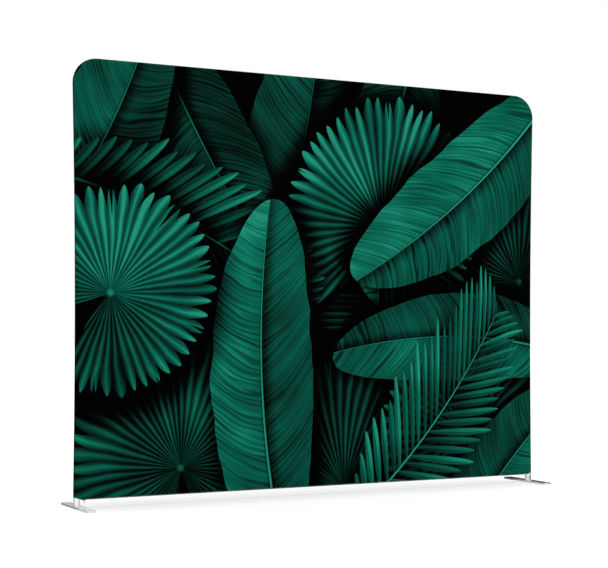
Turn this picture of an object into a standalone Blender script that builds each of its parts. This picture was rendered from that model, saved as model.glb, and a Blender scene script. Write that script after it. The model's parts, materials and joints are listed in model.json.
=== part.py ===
"""Free-standing fabric partition screen: a snap-together tube frame under a stretch cover, on two plate feet.

Metres, +Z up. X runs along the screen and Y through it. The origin is on the floor under the middle.
"""

import math

import bmesh
import bpy
from mathutils import Matrix, Vector

# Overall size, over the cover
SCREEN_WIDTH = 2.500
SCREEN_HEIGHT = 2.000
COVER_FLOOR_GAP = 0.040

# Frame tubes
TUBE_RADIUS = 0.015
TUBE_WALL = 0.0012
BEND_RADIUS = 0.100
SIDE_BOW = 0.010
LOWER_POST_LENGTH = 0.850
CORNER_LEG_LENGTH = 0.250
CORNER_RUN_LENGTH = 0.300
LOWER_UPRIGHT_LENGTH = 0.950
END_GAP = 0.0003

# Sleeves, spigots and T fittings inside the tube ends
SLEEVE_CLEARANCE = 0.0004
SLEEVE_WALL = 0.0014
SPIGOT_LENGTH = 0.050
SPIGOT_BORE_DEPTH = 0.046
COLLAR_LENGTH = 0.006
COLLAR_STEP = 0.0003
TEE_BARREL_LENGTH = 0.036

# Snap buttons
BUTTON_RADIUS = 0.0040
BUTTON_HOLE_CLEARANCE = 0.0004
BUTTON_PROUD = 0.0030
BUTTON_DOME_EDGE = 0.0012
BUTTON_INSET = 0.024
LEAF_LENGTH = 0.026
LEAF_WIDTH = 0.0080
LEAF_THICKNESS = 0.0008
LEAF_CLEARANCE = 0.0003

# Plate feet
FOOT_LENGTH = 0.350
FOOT_WIDTH = 0.045
FOOT_THICKNESS = 0.008
FOOT_CORNER_RADIUS = 0.005
FOOT_EDGE_BEVEL = 0.0015
FOOT_GAP = 0.0003
FOOT_SPIGOT_HEIGHT = 0.048
FOOT_SPIGOT_CHAMFER = 0.003
SWIVEL_CLEARANCE = 0.0003
SCREW_RADIUS = 0.0040
SCREW_HEAD_RADIUS = 0.0080
SCREW_HEAD_HEIGHT = 0.0040
SCREW_LENGTH = 0.030
SCREW_CLEARANCE = 0.0003
SCREW_SOCKET_RADIUS = 0.0025
SCREW_SOCKET_DEPTH = 0.0022
PAD_RADIUS = 0.010
PAD_THICKNESS = 0.0010
PAD_BEVEL = 0.0003
PAD_END_INSET = 0.022

# Cover
COVER_THICKNESS = 0.0005
COVER_CLEARANCE = 0.0004
SEAM_GAP = 0.0003
HEM_WRAP_ANGLE = math.radians(60)
HEM_BLEND = 0.006
HEM_RISE = 0.010

# Zip under the bottom rail
ZIP_END_INSET = 0.001
ZIP_TAPE_GAP = 0.0003
ZIP_CHAIN_WIDTH = 0.0030
ZIP_CHAIN_HEIGHT = 0.0024
ZIP_CHAIN_CORNER = 0.0008
ZIP_CHAIN_GAP = 0.0003
STOP_LENGTH = 0.0040
STOP_END_INSET = 0.0025
STOP_WALL = 0.0008
SLIDER_LENGTH = 0.013
SLIDER_START_INSET = 0.003
SLIDER_CLEARANCE = 0.0003
SLIDER_WALL = 0.0011
SLIDER_FLOOR = 0.0012
LUG_THICKNESS = 0.0011
LUG_RADIUS = 0.0018
LUG_DROP = 0.0024
PULL_PIN_RADIUS = 0.0007
PULL_EYE_RADIUS = 0.0016
PULL_CLEARANCE = 0.0003
PULL_EYE_WIDTH = 0.0024
PULL_WIDTH = 0.0064
PULL_LENGTH = 0.0115
PULL_THICKNESS = 0.0012
PULL_NECK_LENGTH = 0.0032
PULL_CORNER = 0.0014

# One overrun serves all cuts, and one distance all welds
CUT_OVERRUN = 0.002
WELD_DISTANCE = 0.00001

# Facets
TUBE_SIDES = 16
SMALL_SIDES = 12
POST_STEPS = 12
BEND_STEPS = 12
RIM_STEPS = 4
HEM_STEPS = 3
SMOOTH_ANGLE = math.radians(40)

# Worked out from the sizes above
QUARTER_TURN = math.pi / 2
FACET_SHARE = math.cos(math.pi / TUBE_SIDES)
COVER_RADIUS = TUBE_RADIUS + COVER_CLEARANCE + COVER_THICKNESS
SLEEVE_RADIUS = TUBE_RADIUS - TUBE_WALL - SLEEVE_CLEARANCE
SLEEVE_BORE = SLEEVE_RADIUS - SLEEVE_WALL
FOOT_SPIGOT_RADIUS = (TUBE_RADIUS - TUBE_WALL) * FACET_SHARE - SWIVEL_CLEARANCE
COLLAR_RADIUS = TUBE_RADIUS - COLLAR_STEP
POST_X = SCREEN_WIDTH / 2 - COVER_RADIUS
TOP_RAIL_Z = SCREEN_HEIGHT - COVER_RADIUS
BOTTOM_RAIL_Z = COVER_FLOOR_GAP + COVER_RADIUS
BEND_START_Z = TOP_RAIL_Z - BEND_RADIUS
BEND_START_X = POST_X - BEND_RADIUS
PLATE_BASE_Z = PAD_THICKNESS + FOOT_GAP
PLATE_TOP_Z = PLATE_BASE_Z + FOOT_THICKNESS
POST_FOOT_Z = PLATE_TOP_Z + FOOT_GAP
LOWER_POST_TOP = POST_FOOT_Z + LOWER_POST_LENGTH
CORNER_LEG_END = BEND_START_Z - CORNER_LEG_LENGTH
CORNER_RUN_END = BEND_START_X - CORNER_RUN_LENGTH
SIDE_COLLAR_END = POST_X - TUBE_RADIUS - COLLAR_LENGTH
UPRIGHT_FOOT_Z = BOTTOM_RAIL_Z + TUBE_RADIUS + COLLAR_LENGTH + END_GAP
UPRIGHT_HEAD_Z = TOP_RAIL_Z - TUBE_RADIUS - COLLAR_LENGTH - END_GAP
UPRIGHT_JOINT_Z = UPRIGHT_FOOT_Z + LOWER_UPRIGHT_LENGTH
HEM_FLAP_X = POST_X - COVER_RADIUS
HEM_WRAP_X = HEM_FLAP_X - HEM_BLEND
ZIP_HALF_LENGTH = HEM_WRAP_X - ZIP_END_INSET
CHAIN_TOP_Z = BOTTOM_RAIL_Z - COVER_RADIUS - ZIP_TAPE_GAP
CHAIN_BASE_Z = CHAIN_TOP_Z - ZIP_CHAIN_HEIGHT
STOP_X = ZIP_HALF_LENGTH - STOP_END_INSET
SLIDER_X = -(STOP_X - SLIDER_START_INSET - SLIDER_LENGTH / 2)
SLIDER_BASE_Z = CHAIN_BASE_Z - SLIDER_CLEARANCE - SLIDER_FLOOR
PULL_Z = SLIDER_BASE_Z - LUG_DROP
SIDES = {"left": -1, "right": 1}
X_AXIS = Vector((1, 0, 0))
Y_AXIS = Vector((0, 1, 0))
Z_AXIS = Vector((0, 0, 1))

for leftover in list(bpy.data.objects):
    bpy.data.objects.remove(leftover, do_unlink=True)

screen = bpy.data.collections.new("fabric_partition_screen")
cutters = bpy.data.collections.new("cutters")
bpy.context.scene.collection.children.link(screen)
bpy.context.scene.collection.children.link(cutters)


def finish(name, colour, roughness, metallic=0.0):
    """A Principled material."""
    material = bpy.data.materials.new(name)
    material.use_nodes = True
    shader = material.node_tree.nodes["Principled BSDF"]
    shader.inputs["Base Color"].default_value = (*colour, 1)
    shader.inputs["Roughness"].default_value = roughness
    shader.inputs["Metallic"].default_value = metallic
    return material


ALUMINIUM = finish("drawn_aluminium", (0.78, 0.79, 0.80), 0.28, 1.0)
CAST_ALUMINIUM = finish("cast_aluminium", (0.62, 0.63, 0.64), 0.45, 1.0)
SPRING_STEEL = finish("spring_steel", (0.55, 0.55, 0.56), 0.30, 1.0)
FOOT_STEEL = finish("plated_foot_steel", (0.72, 0.72, 0.73), 0.22, 1.0)
SCREW_STEEL = finish("zinc_screw_steel", (0.60, 0.61, 0.62), 0.35, 1.0)
PAD_RUBBER = finish("pad_rubber", (0.03, 0.03, 0.03), 0.85)
PRINTED_CLOTH = finish("printed_stretch_cloth", (0.01, 0.19, 0.12), 0.75)
ZIP_CLOTH = finish("zip_tape_cloth", (0.01, 0.03, 0.025), 0.85)
ZIP_NYLON = finish("zip_chain_nylon", (0.02, 0.04, 0.035), 0.45)
ZIP_METAL = finish("zip_slider_metal", (0.25, 0.26, 0.26), 0.35, 1.0)


def place(name, mesh, material, location=None, parent=None):
    """Adds a piece of the screen, shaded smooth over its round sides."""
    mesh.name = name
    mesh.shade_smooth()
    mesh.set_sharp_from_angle(angle=SMOOTH_ANGLE)
    if not mesh.materials:
        mesh.materials.append(material)
    piece = bpy.data.objects.new(name, mesh)
    screen.objects.link(piece)
    if parent:
        piece.parent = parent
    if location:
        piece.location = location
    return piece


def place_cutter(name, mesh):
    """Adds a helper that cuts a piece or is joined to it, and is itself left out."""
    helper = bpy.data.objects.new(name, mesh)
    helper.hide_render = True
    helper.display_type = "WIRE"
    cutters.objects.link(helper)
    return helper


def pivot(name, location, parent=None):
    """An empty on a joint's axis, which the moving pieces hang from."""
    empty = bpy.data.objects.new(name, None)
    empty.location = location
    empty.parent = parent
    screen.objects.link(empty)
    return empty


def combine(piece, helper, operation):
    modifier = piece.modifiers.new(helper.name, "BOOLEAN")
    modifier.operation = operation
    modifier.object = helper


def evaluated_mesh(piece):
    """The piece with its modifiers applied, as a mesh of its own."""
    graph = bpy.context.evaluated_depsgraph_get()
    return bpy.data.meshes.new_from_object(piece.evaluated_get(graph))


def frame_along(origin, direction):
    """A matrix at origin whose Z axis points along direction."""
    turn = Z_AXIS.rotation_difference(direction.normalized())
    return Matrix.Translation(origin) @ turn.to_matrix().to_4x4()


def mesh_from(name, bm):
    bmesh.ops.recalc_face_normals(bm, faces=bm.faces)
    mesh = bpy.data.meshes.new(name)
    bm.to_mesh(mesh)
    bm.free()
    return mesh


def cylinder(name, start, end, radius, sides=TUBE_SIDES):
    """A closed cylinder from one point to another."""
    bm = bmesh.new()
    span = end - start
    bmesh.ops.create_cone(
        bm,
        cap_ends=True,
        segments=sides,
        radius1=radius,
        radius2=radius,
        depth=span.length,
        matrix=frame_along((start + end) / 2, span),
    )
    return mesh_from(name, bm)


def block(name, centre, size):
    """A closed box."""
    bm = bmesh.new()
    bmesh.ops.create_cube(bm, size=1, matrix=Matrix.Translation(centre) @ Matrix.Diagonal((*size, 1)))
    return mesh_from(name, bm)


def swept(name, points, radius, closed):
    """A round section swept along points, with closed or open ends."""
    path = bpy.data.curves.new(name, "CURVE")
    path.dimensions = "3D"
    path.bevel_depth = radius
    path.bevel_resolution = TUBE_SIDES // 2 - 2
    path.use_fill_caps = closed
    spline = path.splines.new("POLY")
    spline.points.add(len(points) - 1)
    for knot, point in zip(spline.points, points):
        knot.co = (*point, 1)
    guide = bpy.data.objects.new(name, path)
    cutters.objects.link(guide)
    mesh = evaluated_mesh(guide)
    bpy.data.objects.remove(guide)
    bm = bmesh.new()
    bm.from_mesh(mesh)
    bmesh.ops.remove_doubles(bm, verts=bm.verts, dist=WELD_DISTANCE)
    bm.to_mesh(mesh)
    bm.free()
    return mesh


def turned(name, profile, sides=TUBE_SIDES):
    """A solid of revolution about its own Z axis, from (radius, height) pairs, top to bottom."""
    bm = bmesh.new()
    knots = [bm.verts.new((radius, 0, height)) for radius, height in profile]
    for upper, lower in zip(knots, knots[1:]):
        bm.edges.new((upper, lower))
    mesh = bpy.data.meshes.new(name)
    bm.to_mesh(mesh)
    bm.free()
    guide = place_cutter(name, mesh)
    screw = guide.modifiers.new("turn", "SCREW")
    screw.steps = sides
    screw.render_steps = sides
    screw.use_merge_vertices = True
    screw.merge_threshold = WELD_DISTANCE
    solid = evaluated_mesh(guide)
    bpy.data.objects.remove(guide)
    return solid


def extruded(name, outline, depth, matrix):
    """A flat outline, drawn in the matrix's XY plane and thickened about it."""
    drawing = bpy.data.curves.new(name, "CURVE")
    drawing.dimensions = "2D"
    drawing.fill_mode = "BOTH"
    drawing.extrude = depth / 2
    spline = drawing.splines.new("POLY")
    spline.use_cyclic_u = True
    spline.points.add(len(outline) - 1)
    for knot, (across, up) in zip(spline.points, outline):
        knot.co = (across, up, 0, 1)
    guide = bpy.data.objects.new(name, drawing)
    cutters.objects.link(guide)
    mesh = evaluated_mesh(guide)
    bpy.data.objects.remove(guide)
    bm = bmesh.new()
    bm.from_mesh(mesh)
    bmesh.ops.remove_doubles(bm, verts=bm.verts, dist=WELD_DISTANCE)
    bmesh.ops.recalc_face_normals(bm, faces=bm.faces)
    bm.to_mesh(mesh)
    bm.free()
    mesh.transform(matrix)
    return mesh


def rounded_corners(corners, radius, steps=3):
    """An outline with each corner, given in order, rounded off by an arc."""
    outline = []
    for i, corner in enumerate(corners):
        before = (corners[i - 1] - corner).normalized()
        after = (corners[(i + 1) % len(corners)] - corner).normalized()
        half_angle = before.angle(after) / 2
        centre = corner + (before + after).normalized() * radius / math.sin(half_angle)
        first = corner + before * radius / math.tan(half_angle) - centre
        last = corner + after * radius / math.tan(half_angle) - centre
        sweep = first.angle_signed(last)
        for step in range(steps + 1):
            turn = Matrix.Rotation(-sweep * step / steps, 2)
            outline.append(tuple(centre + turn @ first))
    return outline


# The frame's centre line, with the posts drawn inwards by the stretched cover


def tensioned(x, z):
    """A point of the frame in the XZ plane, moved to where the stretched cover holds it."""
    climb = (z - BOTTOM_RAIL_Z) / (TOP_RAIL_Z - BOTTOM_RAIL_Z)
    if not 0 < climb < 1:
        return Vector((x, 0, z))
    pull = SIDE_BOW / POST_X * math.sin(math.pi * climb)
    return Vector((x * (1 - pull), 0, z))


def post_levels(low, high):
    """Heights along a post, from low to high, with the shared levels that lie well inside."""
    step = (BEND_START_Z - BOTTOM_RAIL_Z) / POST_STEPS
    shared = [BOTTOM_RAIL_Z + step * i for i in range(POST_STEPS + 1)]
    inside = [z for z in shared if low + TUBE_RADIUS < z < high - TUBE_RADIUS]
    return [low, *inside, high]


def bend_points(side):
    """The corner arc, from the post's top round to the top rail's end."""
    points = []
    for step in range(BEND_STEPS + 1):
        angle = QUARTER_TURN * step / BEND_STEPS
        x = BEND_START_X + BEND_RADIUS * math.cos(angle)
        z = BEND_START_Z + BEND_RADIUS * math.sin(angle)
        points.append(tensioned(side * x, z))
    return points


def frame_outline():
    """The centre line from the left post's foot over the top to the right one's, with outward normals."""
    halves = {}
    for name, side in SIDES.items():
        straight = [tensioned(side * POST_X, z) for z in post_levels(BOTTOM_RAIL_Z, BEND_START_Z)]
        halves[name] = straight[:-1] + bend_points(side)
    points = halves["left"] + halves["right"][::-1]
    stations = []
    for i, point in enumerate(points):
        before = (point - points[max(i - 1, 0)]).normalized()
        after = (points[min(i + 1, len(points) - 1)] - point).normalized()
        along = (before + after).normalized()
        stations.append((point, Vector((-along.z, 0, along.x))))
    return stations


# Snap joints: a sprung button in an inner tube, clicked through a hole in the outer one


def button_mesh():
    """The button and the leaf that carries it, with the button pointing along +Z from the tube's axis."""
    half_width = LEAF_WIDTH / 2
    leaf_top = math.sqrt((SLEEVE_BORE * FACET_SHARE) ** 2 - half_width**2) - LEAF_CLEARANCE
    leaf_bottom = leaf_top - LEAF_THICKNESS
    tip = TUBE_RADIUS + BUTTON_PROUD
    shoulder = tip - BUTTON_DOME_EDGE
    crown = BUTTON_RADIUS - BUTTON_DOME_EDGE
    foot = leaf_top - LEAF_THICKNESS / 2
    profile = [(0, tip), (crown, tip), (BUTTON_RADIUS, shoulder), (BUTTON_RADIUS, foot), (0, foot)]
    knob = turned("button_knob", profile, SMALL_SIDES)
    leaf_height = (leaf_top + leaf_bottom) / 2
    leaf = block("button_leaf", Vector((0, 0, leaf_height)), (LEAF_LENGTH, LEAF_WIDTH, LEAF_THICKNESS))
    joined = place_cutter("button_master", leaf)
    knob_helper = place_cutter("button_knob", knob)
    combine(joined, knob_helper, "UNION")
    mesh = evaluated_mesh(joined)
    bpy.data.objects.remove(joined)
    bpy.data.objects.remove(knob_helper)
    return mesh


def snap_joint(name, shared_mesh, centre, along, outward, holed):
    """Places one button and cuts its hole through the outer and the inner tube."""
    button = place("button_" + name, shared_mesh, SPRING_STEEL)
    turn = Matrix((along, outward.cross(along), outward)).transposed()
    button.matrix_world = Matrix.Translation(centre) @ turn.to_4x4()
    reach = outward * (TUBE_RADIUS + BUTTON_PROUD + CUT_OVERRUN)
    radius = BUTTON_RADIUS + BUTTON_HOLE_CLEARANCE
    hole = place_cutter(name + "_hole", cylinder(name, centre, centre + reach, radius, SMALL_SIDES))
    for piece in holed:
        combine(piece, hole, "DIFFERENCE")


def hollow(name, points, radius, wall):
    """A tube: an open swept surface, thickened inwards."""
    piece = place(name, swept(name, points, radius, closed=False), ALUMINIUM)
    thick = piece.modifiers.new("wall", "SOLIDIFY")
    thick.thickness = wall
    thick.offset = -1
    thick.use_even_offset = True
    return piece


def cut_spigot_bore(piece, label, mouth, along):
    """Hollows a spigot from its mouth, so that a button fits inside."""
    bore = cylinder("bore", mouth - along * SPIGOT_BORE_DEPTH, mouth + along * CUT_OVERRUN, SLEEVE_BORE)
    combine(piece, place_cutter(f"{piece.name}_{label}_bore", bore), "DIFFERENCE")


def join_spigot(piece, start, end, root):
    """Adds a collar from root to start and a hollow spigot on to end, which the next tube slides over."""
    collar = cylinder("collar", root, start, COLLAR_RADIUS)
    combine(piece, place_cutter(piece.name + "_collar", collar), "UNION")
    spigot = cylinder("spigot", root, end, SLEEVE_RADIUS)
    combine(piece, place_cutter(piece.name + "_spigot", spigot), "UNION")
    cut_spigot_bore(piece, "branch", end, (end - start).normalized())


# Frame


def lower_post(name, side):
    """The post's foot length, with the stub welded to it that carries the bottom rail."""
    levels = post_levels(POST_FOOT_Z, LOWER_POST_TOP)
    points = [tensioned(side * POST_X, z) for z in levels]
    piece = place(name + "_lower_post", swept(name, points, TUBE_RADIUS, closed=True), ALUMINIUM)
    rail_height = Vector((0, 0, BOTTOM_RAIL_Z))
    axis = X_AXIS * side
    collar_end = axis * SIDE_COLLAR_END + rail_height
    spigot_end = collar_end - axis * SPIGOT_LENGTH
    join_spigot(piece, collar_end, spigot_end, axis * POST_X + rail_height)
    ends = (Z_AXIS * -CUT_OVERRUN, Z_AXIS * CUT_OVERRUN)
    bore_points = [points[0] + ends[0], *points[1:-1], points[-1] + ends[1]]
    bore = swept("bore", bore_points, TUBE_RADIUS - TUBE_WALL, closed=True)
    combine(piece, place_cutter(piece.name + "_tube_bore", bore), "DIFFERENCE")
    return piece


def sleeve(name, points):
    return hollow(name, points, SLEEVE_RADIUS, SLEEVE_WALL)


def side_frame(name, side, button):
    """One post, its corner tube and the rails' ends that meet them."""
    lower = lower_post(name, side)
    upper_levels = post_levels(LOWER_POST_TOP + END_GAP, CORNER_LEG_END - END_GAP)
    upper_points = [tensioned(side * POST_X, z) for z in upper_levels]
    upper = hollow(name + "_upper_post", upper_points, TUBE_RADIUS, TUBE_WALL)
    leg = [tensioned(side * POST_X, z) for z in post_levels(CORNER_LEG_END, BEND_START_Z)[:-1]]
    run_end = Vector((side * CORNER_RUN_END, 0, TOP_RAIL_Z))
    corner = hollow(name + "_corner_tube", leg + bend_points(side) + [run_end], TUBE_RADIUS, TUBE_WALL)
    inward = X_AXIS * -side

    for part, joint_z, outer in (("post", LOWER_POST_TOP, upper), ("corner_leg", CORNER_LEG_END, corner)):
        levels = (joint_z - SPIGOT_LENGTH, joint_z + SPIGOT_LENGTH)
        ends = [tensioned(side * POST_X, z) for z in levels]
        inner = sleeve(f"{name}_{part}_sleeve", ends)
        centre = tensioned(side * POST_X, joint_z + BUTTON_INSET)
        snap_joint(f"{name}_{part}", button, centre, Z_AXIS, inward, (inner, outer))

    tee_end = side * (TEE_BARREL_LENGTH / 2 + END_GAP)
    rail_ends = (side * (CORNER_RUN_END - END_GAP), tee_end)
    points = [Vector((x, 0, TOP_RAIL_Z)) for x in rail_ends]
    top_rail = hollow(name + "_top_rail", points, TUBE_RADIUS, TUBE_WALL)
    reach = inward * SPIGOT_LENGTH
    inner = sleeve(name + "_corner_run_sleeve", [run_end - reach, run_end + reach])
    centre = run_end + inward * BUTTON_INSET
    snap_joint(name + "_corner_run", button, centre, X_AXIS, -Z_AXIS, (inner, top_rail))

    rail_ends = (side * (SIDE_COLLAR_END - END_GAP), tee_end)
    points = [Vector((x, 0, BOTTOM_RAIL_Z)) for x in rail_ends]
    bottom_rail = hollow(name + "_bottom_rail", points, TUBE_RADIUS, TUBE_WALL)
    centre = Vector((side * (SIDE_COLLAR_END - BUTTON_INSET), 0, BOTTOM_RAIL_Z))
    snap_joint(name + "_bottom_rail", button, centre, X_AXIS, Z_AXIS, (lower, bottom_rail))
    return top_rail, bottom_rail


def tee(name, rail_z, upright_direction):
    """A T fitting between the two halves of a rail and the centre upright."""
    middle = Vector((0, 0, rail_z))
    half = X_AXIS * TEE_BARREL_LENGTH / 2
    piece = place(name, cylinder(name, middle - half, middle + half, TUBE_RADIUS), CAST_ALUMINIUM)
    for label, end in (("left", middle - half), ("right", middle + half)):
        along = (end - middle).normalized()
        spigot = cylinder("spigot", middle, end + along * SPIGOT_LENGTH, SLEEVE_RADIUS)
        combine(piece, place_cutter(f"{name}_{label}_spigot", spigot), "UNION")
        cut_spigot_bore(piece, label, end + along * SPIGOT_LENGTH, along)
    seat = middle + upright_direction * (TUBE_RADIUS + COLLAR_LENGTH)
    join_spigot(piece, seat, seat + upright_direction * SPIGOT_LENGTH, middle)
    return piece


def build_frame():
    button = button_mesh()
    rails = {name: side_frame(name, side, button) for name, side in SIDES.items()}
    top = tee("top_tee", TOP_RAIL_Z, -Z_AXIS)
    bottom = tee("bottom_tee", BOTTOM_RAIL_Z, Z_AXIS)
    inset = TEE_BARREL_LENGTH / 2 + BUTTON_INSET
    for name, side in SIDES.items():
        top_rail, bottom_rail = rails[name]
        top_centre = Vector((side * inset, 0, TOP_RAIL_Z))
        snap_joint(f"top_tee_{name}", button, top_centre, X_AXIS, -Z_AXIS, (top, top_rail))
        bottom_centre = Vector((side * inset, 0, BOTTOM_RAIL_Z))
        snap_joint(f"bottom_tee_{name}", button, bottom_centre, X_AXIS, Z_AXIS, (bottom, bottom_rail))

    foot, joint, head = (Z_AXIS * z for z in (UPRIGHT_FOOT_Z, UPRIGHT_JOINT_Z, UPRIGHT_HEAD_Z))
    lower = hollow("lower_upright", [foot, joint], TUBE_RADIUS, TUBE_WALL)
    upper = hollow("upper_upright", [joint + Z_AXIS * END_GAP, head], TUBE_RADIUS, TUBE_WALL)
    reach = Z_AXIS * SPIGOT_LENGTH
    inner = sleeve("upright_sleeve", [joint - reach, joint + reach])
    inset = Z_AXIS * BUTTON_INSET
    snap_joint("upright_foot", button, foot + inset, Z_AXIS, X_AXIS, (bottom, lower))
    snap_joint("upright_middle", button, joint + inset, Z_AXIS, X_AXIS, (inner, upper))
    snap_joint("upright_head", button, head - inset, Z_AXIS, X_AXIS, (top, upper))


# Feet, which swivel about the posts


def foot(name, side):
    """A plate foot hung from an empty on the post's axis."""
    axis = pivot(name + "_foot_swivel", Vector((side * POST_X, 0, 0)))
    plate_x = side * (COVER_RADIUS - FOOT_WIDTH / 2)
    half_width = FOOT_WIDTH / 2
    half_length = FOOT_LENGTH / 2
    corners = [
        Vector((plate_x + half_width, half_length)),
        Vector((plate_x - half_width, half_length)),
        Vector((plate_x - half_width, -half_length)),
        Vector((plate_x + half_width, -half_length)),
    ]
    outline = rounded_corners(corners, FOOT_CORNER_RADIUS)
    middle = Matrix.Translation(Vector((0, 0, FOOT_THICKNESS / 2)))
    plate_mesh = extruded(name + "_plate", outline, FOOT_THICKNESS, middle)
    plate = place(name + "_foot_plate", plate_mesh, FOOT_STEEL, Z_AXIS * PLATE_BASE_Z, axis)
    edge = plate.modifiers.new("edge", "BEVEL")
    edge.width = FOOT_EDGE_BEVEL
    edge.segments = 2

    head = SCREW_HEAD_RADIUS + SCREW_CLEARANCE
    shank = SCREW_RADIUS + SCREW_CLEARANCE
    sink = [
        (0, FOOT_THICKNESS + CUT_OVERRUN),
        (shank, FOOT_THICKNESS + CUT_OVERRUN),
        (shank, SCREW_HEAD_HEIGHT + SCREW_CLEARANCE),
        (head, SCREW_CLEARANCE),
        (head, -CUT_OVERRUN),
        (0, -CUT_OVERRUN),
    ]
    sink_cutter = place_cutter(name + "_countersink", turned("countersink", sink))
    sink_cutter.parent = axis
    sink_cutter.location = Z_AXIS * PLATE_BASE_Z
    combine(plate, sink_cutter, "DIFFERENCE")

    screw_profile = [
        (0, SCREW_LENGTH),
        (SCREW_RADIUS, SCREW_LENGTH),
        (SCREW_RADIUS, SCREW_HEAD_HEIGHT),
        (SCREW_HEAD_RADIUS, 0),
        (SCREW_SOCKET_RADIUS, 0),
        (SCREW_SOCKET_RADIUS, SCREW_SOCKET_DEPTH),
        (0, SCREW_SOCKET_DEPTH),
    ]
    place(name + "_foot_screw", turned("screw", screw_profile), SCREW_STEEL, Z_AXIS * PLATE_BASE_Z, axis)

    hole_depth = SCREW_LENGTH + FOOT_SPIGOT_CHAMFER - FOOT_THICKNESS
    spigot_profile = [
        (0, FOOT_SPIGOT_HEIGHT),
        (FOOT_SPIGOT_RADIUS - FOOT_SPIGOT_CHAMFER, FOOT_SPIGOT_HEIGHT),
        (FOOT_SPIGOT_RADIUS, FOOT_SPIGOT_HEIGHT - FOOT_SPIGOT_CHAMFER),
        (FOOT_SPIGOT_RADIUS, 0),
        (shank, 0),
        (shank, hole_depth),
        (0, hole_depth),
    ]
    place(name + "_foot_spigot", turned("spigot", spigot_profile), FOOT_STEEL, Z_AXIS * POST_FOOT_Z, axis)

    pad_profile = [
        (0, PAD_THICKNESS),
        (PAD_RADIUS, PAD_THICKNESS),
        (PAD_RADIUS, PAD_BEVEL),
        (PAD_RADIUS - PAD_BEVEL, 0),
        (0, 0),
    ]
    for end, facing in (("front", -1), ("back", 1)):
        pad_place = Vector((plate_x, facing * (half_length - PAD_END_INSET), 0))
        place(f"{name}_foot_{end}_pad", turned("pad", pad_profile), PAD_RUBBER, pad_place, axis)


# Cover: a front and a back panel sewn together round the outer edge of the frame


def hem_height(x):
    """The lower edge of the cloth in front of a post, which rises towards the screen's side."""
    outwards = (abs(x) - HEM_FLAP_X) / (2 * COVER_RADIUS)
    return COVER_FLOOR_GAP + HEM_RISE * max(outwards, 0)


def skin(bm, rows):
    """Quads between neighbouring rows of points."""
    for row, next_row in zip(rows, rows[1:]):
        for i in range(len(row) - 1):
            bm.faces.new((row[i], row[i + 1], next_row[i + 1], next_row[i]))


def cover_panel(name, facing):
    """One panel: flat across the frame, rolled over its outer tubes to the seam and under the bottom rail."""
    bm = bmesh.new()
    last_angle = math.acos(SEAM_GAP / 2 / COVER_RADIUS)
    rim = []
    for point, normal in frame_outline():
        ring = []
        for step in range(RIM_STEPS + 1):
            angle = last_angle * step / RIM_STEPS
            edge = point + normal * COVER_RADIUS * math.sin(angle)
            ring.append(bm.verts.new((edge.x, facing * COVER_RADIUS * math.cos(angle), edge.z)))
        rim.append(ring)
    skin(bm, rim)

    across = [-HEM_FLAP_X, -HEM_WRAP_X, HEM_WRAP_X, HEM_FLAP_X]
    rail_line = [bm.verts.new((x, facing * COVER_RADIUS, BOTTOM_RAIL_Z)) for x in across]
    bm.faces.new([ring[0] for ring in rim] + rail_line[::-1])

    top_row = rim[0][::-1] + rail_line + rim[-1]
    hem = [top_row]
    for step in range(1, HEM_STEPS + 1):
        share = step / HEM_STEPS
        row = []
        for knot in top_row:
            if abs(knot.co.x) > HEM_WRAP_X + HEM_BLEND / 2:
                z = BOTTOM_RAIL_Z - (BOTTOM_RAIL_Z - hem_height(knot.co.x)) * share
                row.append(bm.verts.new((knot.co.x, knot.co.y, z)))
                continue
            angle = HEM_WRAP_ANGLE * share
            y = facing * COVER_RADIUS * math.cos(angle)
            z = BOTTOM_RAIL_Z - COVER_RADIUS * math.sin(angle)
            row.append(bm.verts.new((knot.co.x, y, z)))
        hem.append(row)
    skin(bm, hem)

    bmesh.ops.recalc_face_normals(bm, faces=bm.faces)
    bm.faces.ensure_lookup_table()
    flat = max(bm.faces, key=lambda face: face.calc_area())
    if flat.normal.y * facing < 0:
        bmesh.ops.reverse_faces(bm, faces=bm.faces)
    mesh = bpy.data.meshes.new(name)
    bm.to_mesh(mesh)
    bm.free()
    panel = place(name, mesh, PRINTED_CLOTH)
    thick = panel.modifiers.new("cloth", "SOLIDIFY")
    thick.thickness = COVER_THICKNESS
    thick.offset = -1
    thick.use_even_offset = True


# Zip: two tapes and a chain along the underside of the bottom rail, with a slider and its pull


def along_x(start_x, end_x):
    """A matrix that turns a drawing's XY plane to YZ, and its middle to between two places on X."""
    upright = Matrix((Y_AXIS, Z_AXIS, X_AXIS)).transposed()
    return Matrix.Translation(X_AXIS * (start_x + end_x) / 2) @ upright.to_4x4()


def zip_half(name, facing):
    """One tape, continuing the hem's curve to the middle, and the half of the chain below its edge."""
    first = HEM_WRAP_ANGLE + ZIP_TAPE_GAP / COVER_RADIUS
    last = math.acos(ZIP_CHAIN_GAP / 2 / COVER_RADIUS)
    arc = []
    for radius, angles in (
        (COVER_RADIUS, (first, (first + last) / 2, last)),
        (COVER_RADIUS - COVER_THICKNESS, (last, (first + last) / 2, first)),
    ):
        for angle in angles:
            y = facing * radius * math.cos(angle)
            arc.append((y, BOTTOM_RAIL_Z - radius * math.sin(angle)))
    length = 2 * ZIP_HALF_LENGTH
    across = along_x(-ZIP_HALF_LENGTH, ZIP_HALF_LENGTH)
    place("zip_tape_" + name, extruded("tape", arc, length, across), ZIP_CLOTH)

    inner = facing * ZIP_CHAIN_GAP / 2
    outer = inner + facing * ZIP_CHAIN_WIDTH
    low_outer = outer - facing * ZIP_CHAIN_CORNER
    chain = [
        (inner, CHAIN_TOP_Z),
        (outer, CHAIN_TOP_Z),
        (outer, CHAIN_BASE_Z + ZIP_CHAIN_CORNER),
        (low_outer, CHAIN_BASE_Z),
        (inner, CHAIN_BASE_Z),
    ]
    place("zip_chain_" + name, extruded("chain", chain, length, across), ZIP_NYLON)


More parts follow.
